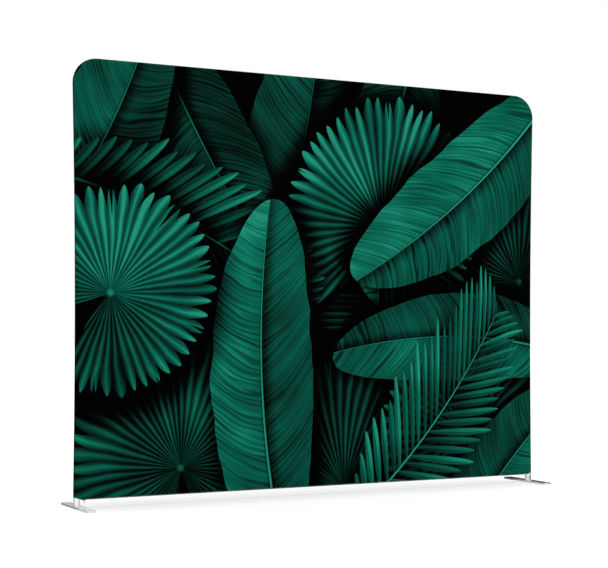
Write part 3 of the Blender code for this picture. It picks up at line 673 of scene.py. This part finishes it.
def printed_cloth():
    """Dye-printed stretch knit, with painted shade: the print is darker on the rim where it rolls round
    towards the seam.
    """
    material, tree, shader = new_material("printed_stretch_cloth", 0.85)
    across, up = print_place(tree)
    shade = foliage_shade(tree, across, up)
    knit = knit_height(tree, across, up)
    off_seam = coordinates(tree, "Object")[1].absolute() / COVER_RADIUS
    # Painted shade: the print darkens on the rim as it rolls round the tubes towards the seam
    inked_and_rim_shaded = shade * (1.0 + knit * 0.035) * mixed(off_seam.rising(0.15, 0.60), 0.70, 1.0)
    tree.links.new(ink_colour(tree, inked_and_rim_shaded), shader.inputs["Base Color"])
    shader.inputs["Specular IOR Level"].default_value = 0.01
    add_bump(tree, shader, knit, KNIT_DEPTH, KNIT_STRENGTH)
    return material


def cloth_reverse():
    """The cloth's unprinted side, with a little of the print showing through as green."""
    material, tree, shader = new_material("cloth_reverse", 0.85)
    across, up = print_place(tree)
    cloud = flat_noise(tree, across, up, 3.0, 2.0)
    tree.links.new(tinted(tree, cloud, REVERSE_DARK, REVERSE_LIGHT), shader.inputs["Base Color"])
    add_bump(tree, shader, knit_height(tree, across, up), KNIT_DEPTH, KNIT_STRENGTH)
    return material


def drawn_metal(name, axis, colour, roughness, streak):
    """Drawn or brushed metal with fine streaks along one axis, 0 to 2."""
    material, tree, shader = new_material(name, roughness, 1.0)
    stretch = [STREAKS_ACROSS, STREAKS_ACROSS, STREAKS_ACROSS]
    stretch[axis] = STREAKS_ALONG
    streaks = solid_noise(tree, stretched_place(tree, stretch), 1.0, 3.0, 0.6)
    cloud = solid_noise(tree, stretched_place(tree), CLOUDS, 2.0)
    dark = tuple(STREAK_SHADE_SHARE * c for c in colour)
    tree.links.new(tinted(tree, streaks * 0.6 + cloud * 0.4, dark, colour), shader.inputs["Base Color"])
    dulled = roughness - streak + streaks * streak * 1.4 + cloud * streak * 0.6
    plug(tree, shader.inputs["Roughness"], dulled)
    add_bump(tree, shader, streaks, STREAK_DEPTH, 0.35)
    return material


def plated_steel():
    """Bright plated plate steel, brushed along Y, with painted shade: a darker colour on its long sides and
    rounded edges.
    """
    material = drawn_metal("plated_foot_steel", 1, PLATED_FACE, roughness=0.12, streak=0.04)
    tree = material.node_tree
    shader = tree.nodes["Principled BSDF"]
    polished = shader.inputs["Base Color"].links[0].from_socket
    x, _, z = coordinates(tree, "Normal")
    upwards = z.absolute()
    rounded = upwards.rising(0.15, 0.3) * upwards.falling(0.95, 0.99)
    # Painted shade: the long sides and rounded edges take a darker colour than the top
    shaded_sides = x.absolute().rising(0.5, 0.8).math("MAXIMUM", rounded)
    colour = tinted(tree, shaded_sides, PLATED_FACE, PLATED_SHADED_EDGE)
    tree.links.new(polished, colour.node.inputs["A"])
    tree.links.new(colour, shader.inputs["Base Color"])
    return material


def grained(name, colour, roughness, metallic, scale, depth):
    """A material with an even grain, such as cast metal, rubber or lacquer."""
    material, tree, shader = new_material(name, roughness, metallic)
    grain = solid_noise(tree, stretched_place(tree), scale, 4.0, 0.6)
    cloud = solid_noise(tree, stretched_place(tree), scale / 12.0, 2.0)
    dark = tuple(GRAIN_SHADE_SHARE * c for c in colour)
    tree.links.new(tinted(tree, grain * 0.5 + cloud * 0.5, dark, colour), shader.inputs["Base Color"])
    plug(tree, shader.inputs["Roughness"], roughness - 0.08 + grain * 0.16)
    add_bump(tree, shader, grain, depth, 0.6)
    return material


def woven_tape():
    """Zip tape: a fine herringbone twill."""
    material, tree, shader = new_material("zip_tape_weave", 0.8)
    along, across, _ = coordinates(tree, "Object")
    fold = (across * TWILL_FOLDS).math("PINGPONG", 1.0)
    twill = ((along * TWILL_RIBS + fold * 0.8) * FULL_TURN).math("SINE") * 0.5 + 0.5
    tree.links.new(tinted(tree, twill, TAPE_DARK, TAPE_LIGHT), shader.inputs["Base Color"])
    shader.inputs["Sheen Weight"].default_value = 0.1
    add_bump(tree, shader, twill, TWILL_DEPTH, 0.6)
    return material


# Finish of the frame


def even_shading():
    """A modifier's node tree that shades round sides smooth and keeps the edges over SMOOTH_ANGLE sharp."""
    tree = bpy.data.node_groups.new("even_shading", "GeometryNodeTree")
    for in_out in ("INPUT", "OUTPUT"):
        tree.interface.new_socket("Geometry", in_out=in_out, socket_type="NodeSocketGeometry")
    given = tree.nodes.new("NodeGroupInput")
    weld = tree.nodes.new("GeometryNodeMergeByDistance")
    weld.inputs["Distance"].default_value = WELD_DISTANCE
    clear = tree.nodes.new("GeometryNodeRemoveAttribute")
    clear.inputs["Name"].default_value = "custom_normal"
    sides = tree.nodes.new("GeometryNodeSetShadeSmooth")
    angle = tree.nodes.new("GeometryNodeInputMeshEdgeAngle")
    gentle = tree.nodes.new("FunctionNodeCompare")
    gentle.operation = "LESS_THAN"
    gentle.inputs["B"].default_value = SMOOTH_ANGLE
    edges = tree.nodes.new("GeometryNodeSetShadeSmooth")
    edges.domain = "EDGE"
    result = tree.nodes.new("NodeGroupOutput")
    tree.links.new(angle.outputs["Unsigned Angle"], gentle.inputs["A"])
    tree.links.new(gentle.outputs["Result"], edges.inputs["Shade Smooth"])
    chain = [given, weld, clear, sides, edges, result]
    for node, next_node in zip(chain, chain[1:]):
        tree.links.new(node.outputs[0], next_node.inputs[0])
    return tree


def make_finishes():
    """The material of each slot of the frame that still shows, or three for tubes along X, Y and Z."""
    tubes = []
    for axis, name in enumerate("xyz"):
        tubes.append(drawn_metal(f"drawn_aluminium_{name}", axis, ALUMINIUM, roughness=0.16, streak=0.05))
    finishes = {
        "tube": tubes,
        "spring": drawn_metal("spring_steel", 0, SPRING_METAL, roughness=0.30, streak=0.08),
        "foot": plated_steel(),
        "zip_tape": woven_tape(),
    }
    for slot, settings in GRAINED_SLOTS.items():
        finishes[slot] = grained(*settings)
    return finishes


def dress_frame(finishes):
    """Gives each CAD node that still shows its slot's finish, with tubes streaked along their length."""
    shading = even_shading()
    for subpart in frame["record"]["subparts"]:
        finish = finishes.get(subpart["material_slot"])
        if finish is None:
            continue
        node = frame["nodes"][subpart["node"]]
        node.modifiers.new("shading", "NODES").node_group = shading
        flats = node.modifiers.new("flats", "WEIGHTED_NORMAL")
        flats.keep_sharp = True
        if isinstance(finish, list):
            low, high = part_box(subpart["node"])
            spans = [high[i] - low[i] for i in range(3)]
            finish = finish[spans.index(max(spans))]
        for material_slot in node.material_slots:
            material_slot.material = finish


# Cover cloth


def add_object(name, mesh_or_data):
    """A new object in the scene."""
    item = bpy.data.objects.new(name, mesh_or_data)
    bpy.context.scene.collection.objects.link(item)
    return item


def mesh_from(bm, name):
    mesh = bpy.data.meshes.new(name)
    bm.to_mesh(mesh)
    bm.free()
    return mesh


def new_piece(name, mesh, material):
    """Adds a piece with one material, which rides on the frame."""
    mesh.materials.append(material)
    piece = add_object(name, mesh)
    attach(piece, "frame")
    return piece


def tensioned(x, z):
    """A point of the frame's centre line, moved to where the stretched cover holds it."""
    climb = (z - BOTTOM_RAIL_Z) / (TOP_RAIL_Z - BOTTOM_RAIL_Z)
    if not 0 < climb < 1:
        return x
    return x * (1 - SIDE_BOW / POST_X * math.sin(math.pi * climb))


def row_levels():
    """(height, half width) of each row of the flat cloth, from the bottom rail to the top one."""
    rows = []
    for step in range(SIDE_STEPS):
        z = BOTTOM_RAIL_Z + (BEND_START_Z - BOTTOM_RAIL_Z) * step / SIDE_STEPS
        rows.append((z, tensioned(POST_X, z)))
    for step in range(BEND_STEPS + 1):
        angle = math.pi / 2 * step / BEND_STEPS
        z = BEND_START_Z + BEND_RADIUS * math.sin(angle)
        rows.append((z, tensioned(BEND_START_X + BEND_RADIUS * math.cos(angle), z)))
    return rows


def column_shares():
    """Places across a row from -1 to 1, with close ones where the hem changes from rolled to straight."""
    half = [HEM_WRAP_X * 2 * i / PANEL_COLUMNS for i in range(PANEL_COLUMNS // 2 + 1)]
    half += [HEM_WRAP_X + HEM_BLEND * (i + 1) / HEM_BLEND_STEPS for i in range(HEM_BLEND_STEPS)]
    half.append(POST_X)
    return [-x / POST_X for x in half[:0:-1]] + [x / POST_X for x in half]


def hem_height(x):
    """The lower edge of the cloth in front of a post, which rises towards the screen's side."""
    outwards = (abs(x) - HEM_FLAP_X) / (2 * COVER_RADIUS)
    return COVER_FLOOR_GAP + HEM_RISE * max(outwards, 0)


def smooth_step(value):
    value = min(max(value, 0), 1)
    return value * value * (3 - 2 * value)


def hem_point(x, y, share):
    """A point of the hem below (x, y), share of the way to its edge, and its height in the flat print.

    Along the rail the cloth rolls under the tube, and in front of a post it hangs straight.
    """
    angle = HEM_WRAP_ANGLE * share
    straight = smooth_step((abs(x) - HEM_WRAP_X) / HEM_BLEND)
    rolled = Vector((x, y * math.cos(angle), BOTTOM_RAIL_Z - COVER_RADIUS * math.sin(angle)))
    hanging = Vector((x, y, BOTTOM_RAIL_Z - (BOTTOM_RAIL_Z - hem_height(x)) * share))
    rolled_up = BOTTOM_RAIL_Z - COVER_RADIUS * angle
    return rolled.lerp(hanging, straight), rolled_up + (hanging.z - rolled_up) * straight


def outwards_from(outline, i):
    """The centre-line point by one knot of the flat cloth's outline, and the way out of the screen."""
    start = outline[i].co
    before = start - outline[max(i - 1, 0)].co
    after = outline[min(i + 1, len(outline) - 1)].co - start
    along = (before.normalized() + after.normalized()).normalized()
    return Vector((start.x, 0, start.z)), Vector((-along.z, 0, along.x))


def cloth_mesh(name, facing):
    """One panel: a flat sheet, a rim rolled round the tubes to the seam, and a hem under the rail.

    Each point also keeps its place in the flat print.
    """
    bm = bmesh.new()
    place = bm.verts.layers.float_vector.new("print_place")

    def knot(x, y, z, across, up):
        vert = bm.verts.new((x, y, z))
        vert[place] = Vector((facing * -across, up, 0))
        return vert

    grid = []
    for z, half_width in row_levels():
        xs = [share * half_width for share in column_shares()]
        grid.append([knot(x, facing * COVER_RADIUS, z, x, z) for x in xs])
    outline = [row[0] for row in grid[:-1]] + grid[-1] + [row[-1] for row in grid[-2::-1]]

    last_angle = math.acos(SEAM_GAP / 2 / COVER_RADIUS)
    rim = []
    for i, start in enumerate(outline):
        point, outwards = outwards_from(outline, i)
        ring = [start]
        for step in range(1, RIM_STEPS + 1):
            angle = last_angle * step / RIM_STEPS
            edge = point + outwards * COVER_RADIUS * math.sin(angle)
            arc = point + outwards * COVER_RADIUS * angle
            ring.append(knot(edge.x, facing * COVER_RADIUS * math.cos(angle), edge.z, arc.x, arc.z))
        tuck = point + outwards * (COVER_RADIUS - SEAM_TUCK)
        ring.append(knot(tuck.x, facing * SEAM_GAP / 4, tuck.z, arc.x, arc.z))
        rim.append(ring)

    top_row = rim[0][:0:-1] + grid[0] + rim[-1][1:]
    hem = [top_row]
    for step in range(1, HEM_STEPS + 1):
        row = []
        for upper in top_row:
            point, up = hem_point(upper.co.x, upper.co.y, step / HEM_STEPS)
            row.append(knot(*point, facing * -upper[place].x, up))
        hem.append(row)

    for rows in (grid, rim, hem):
        for row, next_row in zip(rows, rows[1:]):
            for i in range(len(row) - 1):
                bm.faces.new((row[i], row[i + 1], next_row[i + 1], next_row[i]))
    bmesh.ops.recalc_face_normals(bm, faces=bm.faces)
    flat = max(bm.faces, key=lambda face: face.calc_area())
    if flat.normal.y * facing < 0:
        bmesh.ops.reverse_faces(bm, faces=bm.faces)
    mesh = mesh_from(bm, name)
    mesh.shade_smooth()
    mesh.set_sharp_from_angle(angle=SMOOTH_ANGLE)
    return mesh


def cloth_panel(label, facing, printed, reverse):
    """One panel of the cover, printed outside and plain inside."""
    name = f"cover_{label}_cloth"
    panel = new_piece(name, cloth_mesh(name, facing), printed)
    panel.data.materials.append(reverse)
    thick = panel.modifiers.new("cloth", "SOLIDIFY")
    thick.thickness = CLOTH_THICKNESS
    thick.offset = -1
    thick.use_even_offset = True
    thick.material_offset = 1
    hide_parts(f"cover_{label}")
    return panel


def thread_mesh(name, stitches):
    """Short threads, each from (start, end, outward direction), pointed at both ends."""
    points = []
    faces = []
    for start, end, outward in stitches:
        middle = (start + end) / 2
        across = (end - start).cross(outward).normalized() * THREAD_HALF_WIDTH
        first = len(points)
        proud = outward * THREAD_PROUD
        points += [start - proud, middle + across, middle + proud, middle - across]
        points += [end - proud, middle - proud]
        ring = [first + 1, first + 2, first + 3, first + 5]
        for i in range(4):
            one, two = ring[i], ring[(i + 1) % 4]
            faces.append((first, one, two))
            faces.append((first + 4, two, one))
    mesh = bpy.data.meshes.new(name)
    mesh.from_pydata([tuple(point) for point in points], [], faces)
    mesh.validate()
    mesh.shade_smooth()
    return mesh


def centre_line():
    """(point, direction) at short even steps of the frame's centre line, from foot to foot."""
    levels = row_levels()
    left = [Vector((-half_width, 0, z)) for z, half_width in levels]
    right = [Vector((half_width, 0, z)) for z, half_width in levels[::-1]]
    knots = left + right
    points = []
    carried = 0.0
    for start, end in zip(knots, knots[1:]):
        span = (end - start).length
        while carried < span:
            points.append((start.lerp(end, carried / span), (end - start).normalized()))
            carried += SEAM_STITCH_PITCH
        carried -= span
    return points


def add_seam_stitches(thread):
    """The seam's thread, laced over the edge where the two panels meet."""
    reach = Vector((0, SEAM_STITCH_REACH, 0))
    stitches = []
    for i, (point, along) in enumerate(centre_line()):
        outward = Vector((-along.z, 0, along.x))
        middle = point + outward * COVER_RADIUS
        slant = along * SEAM_STITCH_SLANT * (1 if i % 2 else -1)
        stitches.append((middle - reach - slant, middle + reach + slant, outward))
    new_piece("seam_stitches", thread_mesh("seam_stitches", stitches), thread)


def hem_walk(facing):
    """A function from the distance walked along a panel's lower edge to (x, y), and the edge's length."""
    corner = math.pi / 2 * COVER_RADIUS
    length = 2 * (POST_X + corner)

    def walk(distance):
        across = distance - length / 2
        side = math.copysign(1, across)
        past = abs(across) - POST_X
        if past < 0:
            return across, facing * COVER_RADIUS
        angle = min(past / COVER_RADIUS, math.pi / 2)
        x = side * (POST_X + COVER_RADIUS * math.sin(angle))
        return x, facing * COVER_RADIUS * math.cos(angle)

    return walk, length


def add_hem_stitches(label, facing, thread):
    """Two rows of stitches along the hem of one panel."""
    walk, length = hem_walk(facing)
    hem_length = COVER_RADIUS * HEM_WRAP_ANGLE
    stitches = []
    for rise in HEM_STITCH_ROWS:
        share = 1 - rise / hem_length
        for i in range(int(length / HEM_STITCH_PITCH)):
            ends = []
            for distance in (i * HEM_STITCH_PITCH, i * HEM_STITCH_PITCH + HEM_STITCH_LENGTH):
                ends.append(hem_point(*walk(distance), share)[0])
            middle = (ends[0] + ends[1]) / 2
            x = min(max(middle.x, -POST_X), POST_X)
            drop = 0 if abs(middle.x) > HEM_FLAP_X else middle.z - BOTTOM_RAIL_Z
            outward = Vector((middle.x - x, middle.y, drop)).normalized()
            stitches.append((*ends, outward))
    name = f"hem_stitches_{label}"
    new_piece(name, thread_mesh(name, stitches), thread)


def dress_cover():
    """Both cloth panels and their stitches."""
    thread = grained(*THREAD)
    printed = printed_cloth()
    reverse = cloth_reverse()
    rests = ["left_lower_post", "left_corner_tube", "left_top_rail", "left_bottom_rail"]
    rests += [name.replace("left", "right") for name in rests]
    for label, facing in FACINGS.items():
        panel = cloth_panel(label, facing, printed, reverse)
        add_hem_stitches(label, facing, thread)
    add_seam_stitches(thread)


# Zip


def zip_tape(label, facing, weave):
    """One zip tape, sewn inside the hem and running on under the rail to the chain."""
    last_angle = math.acos(SEAM_GAP / 2 / TAPE_RADIUS)
    rows = []
    bm = bmesh.new()
    for x in (-ZIP_HALF_LENGTH, ZIP_HALF_LENGTH):
        row = []
        for step in range(TAPE_STEPS + 1):
            angle = TAPE_START_ANGLE + (last_angle - TAPE_START_ANGLE) * step / TAPE_STEPS
            y = facing * TAPE_RADIUS * math.cos(angle)
            row.append(bm.verts.new((x, y, BOTTOM_RAIL_Z - TAPE_RADIUS * math.sin(angle))))
        rows.append(row)
    for i in range(TAPE_STEPS):
        bm.faces.new((rows[0][i], rows[0][i + 1], rows[1][i + 1], rows[1][i]))
    mesh = mesh_from(bm, f"zip_tape_{label}_cloth")
    mesh.shade_smooth()
    tape = new_piece(mesh.name, mesh, weave)
    thick = tape.modifiers.new("weave", "SOLIDIFY")
    thick.thickness = TAPE_THICKNESS
    thick.offset = 0
    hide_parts(f"zip_tape_{label}")


def zip_chain(label, facing, nylon):
    """One half of the chain: a row of teeth that lock between the other half's."""
    root_half, root_y = TOOTH_PLAN[0]
    half = [(half_width, facing * y) for half_width, y in TOOTH_PLAN]
    outline = half + [(-x, y) for x, y in half[::-1]]
    levels = [
        (TOOTH_TOP_Z, 1.0),
        (TOOTH_FOOT_Z + TOOTH_CHAMFER, 1.0),
        (TOOTH_FOOT_Z, 1 - TOOTH_CHAMFER / root_half / 2),
    ]
    points = []
    faces = []
    shift = TOOTH_PITCH / 2 if facing > 0 else 0
    start = -ZIP_HALF_LENGTH + TOOTH_PITCH / 2 + shift
    count = int((2 * ZIP_HALF_LENGTH - TOOTH_PITCH) / TOOTH_PITCH)
    sides = len(outline)
    middle_y = facing * root_y / 2
    for i in range(count):
        first = len(points)
        x = start + i * TOOTH_PITCH
        for z, spread in levels:
            points += [(x + dx * spread, middle_y + (y - middle_y) * spread, z) for dx, y in outline]
        for level in range(len(levels) - 1):
            upper = first + level * sides
            for k in range(sides):
                nxt = (k + 1) % sides
                faces.append((upper + k, upper + nxt, upper + sides + nxt, upper + sides + k))
        faces.append(tuple(range(first, first + sides))[::-1])
        last = first + sides * (len(levels) - 1)
        faces.append(tuple(range(last, last + sides)))
    mesh = bpy.data.meshes.new(f"zip_teeth_{label}")
    mesh.from_pydata(points, [], faces)
    mesh.validate()
    bm = bmesh.new()
    bm.from_mesh(mesh)
    bmesh.ops.recalc_face_normals(bm, faces=bm.faces)
    bm.to_mesh(mesh)
    bm.free()
    teeth = new_piece(mesh.name, mesh, nylon)
    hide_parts(f"zip_chain_{label}")


def dress_zip(finishes):
    """Tapes and teeth, and softened edges on the zip's metal pieces."""
    for label, facing in FACINGS.items():
        zip_tape(label, facing, finishes["zip_tape"])
        zip_chain(label, facing, finishes["zip_chain"])
    for name in ("zip_slider", "zip_pull", "zip_stop_left", "zip_stop_right"):
        edge = frame["nodes"][name].modifiers.new("edge", "BEVEL")
        edge.width = METAL_EDGE
        edge.segments = METAL_EDGE_STEPS
        edge.limit_method = "ANGLE"
        edge.angle_limit = SMOOTH_ANGLE


# Studio


def add_camera():
    """The photograph's camera: nearly level, with its view shifted so that upright edges stay upright."""
    lens = bpy.data.cameras.new("camera")
    lens.sensor_width = SENSOR_WIDTH
    lens.lens = FOCAL_PIXELS / IMAGE_WIDTH * SENSOR_WIDTH
    lens.shift_y = HORIZON_DROP_PIXELS / IMAGE_WIDTH
    camera = add_object("camera", lens)
    upright = Matrix.Rotation(math.pi / 2 + CAMERA_PITCH, 4, "X")
    roll = Matrix.Rotation(CAMERA_ROLL, 4, "Z")
    turn = Matrix.Rotation(-CAMERA_YAW, 4, "Z")
    camera.matrix_world = Matrix.Translation(CAMERA_PLACE) @ turn @ upright @ roll
    bpy.context.scene.camera = camera


def seen_directly(tree):
    """1 for what the camera or a reflection sees, and 0 for the light that falls on the object."""
    rays = tree.nodes.new("ShaderNodeLightPath")
    glossy = Value(tree, rays.outputs["Is Glossy Ray"])
    return Value(tree, rays.outputs["Is Camera Ray"]).math("MAXIMUM", glossy)


def matte(name, shade):
    """A grey material without any gloss."""
    material, tree, shader = new_material(name, 1.0)
    shader.inputs["Base Color"].default_value = (shade, shade, shade, 1)
    shader.inputs["Specular IOR Level"].default_value = 0.0
    return material, tree, shader


def add_floor():
    """A white floor that keeps the screen's shadow."""
    bm = bmesh.new()
    bmesh.ops.create_grid(bm, x_segments=1, y_segments=1, size=FLOOR_REACH)
    mesh = mesh_from(bm, "floor")
    material, tree, shader = matte("floor_white", FLOOR_SHADE)
    shader.inputs["Emission Color"].default_value = (1, 1, 1, 1)
    plug(tree, shader.inputs["Emission Strength"], seen_directly(tree) * FLOOR_BOOST)
    mesh.materials.append(material)
    add_object("floor", mesh)


def add_light():
    """A soft surround, brighter before and behind the screen than at its sides, and a soft light overhead.

    The camera and reflections see the surround as pure white.
    """
    world = bpy.data.worlds.new("studio")
    world.use_nodes = True
    bpy.context.scene.world = world
    tree = world.node_tree
    sky = tree.nodes["Background"]
    sky.inputs["Color"].default_value = (1, 1, 1, 1)
    seen = seen_directly(tree)
    x, y, _ = coordinates(tree, "Generated")
    front_and_back = (y * y - x * x) * SKY_SHAPE
    surround = (1.0 + front_and_back + x * SKY_LEAN).positive() * SKY_LEVEL
    plug(tree, sky.inputs["Strength"], mixed(seen, surround, 1.0))

    lamp = bpy.data.lights.new("overhead", "SUN")
    lamp.energy = OVERHEAD_LEVEL
    lamp.angle = OVERHEAD_SPREAD
    add_object("overhead", lamp)


def add_boards():
    """Boards by the feet, out of the camera's sight, which the bright metal reflects."""
    for name, (low, high, shade) in BOARDS.items():
        far = Vector((low.x, high.y, high.z)) if low.z == high.z else Vector((low.x, low.y, high.z))
        near = low + high - far
        mesh = bpy.data.meshes.new(name)
        mesh.from_pydata([tuple(corner) for corner in (low, near, high, far)], [], [(0, 1, 2, 3)])
        mesh.materials.append(matte(name, shade)[0])
        board = add_object(name, mesh)
        for kind in ("camera", "diffuse", "shadow", "transmission", "volume_scatter"):
            setattr(board, f"visible_{kind}", False)


bpy.context.scene.view_settings.view_transform = "Standard"
add_camera()
add_light()
add_floor()
add_boards()
finishes = make_finishes()
dress_frame(finishes)
dress_cover()
dress_zip(finishes)
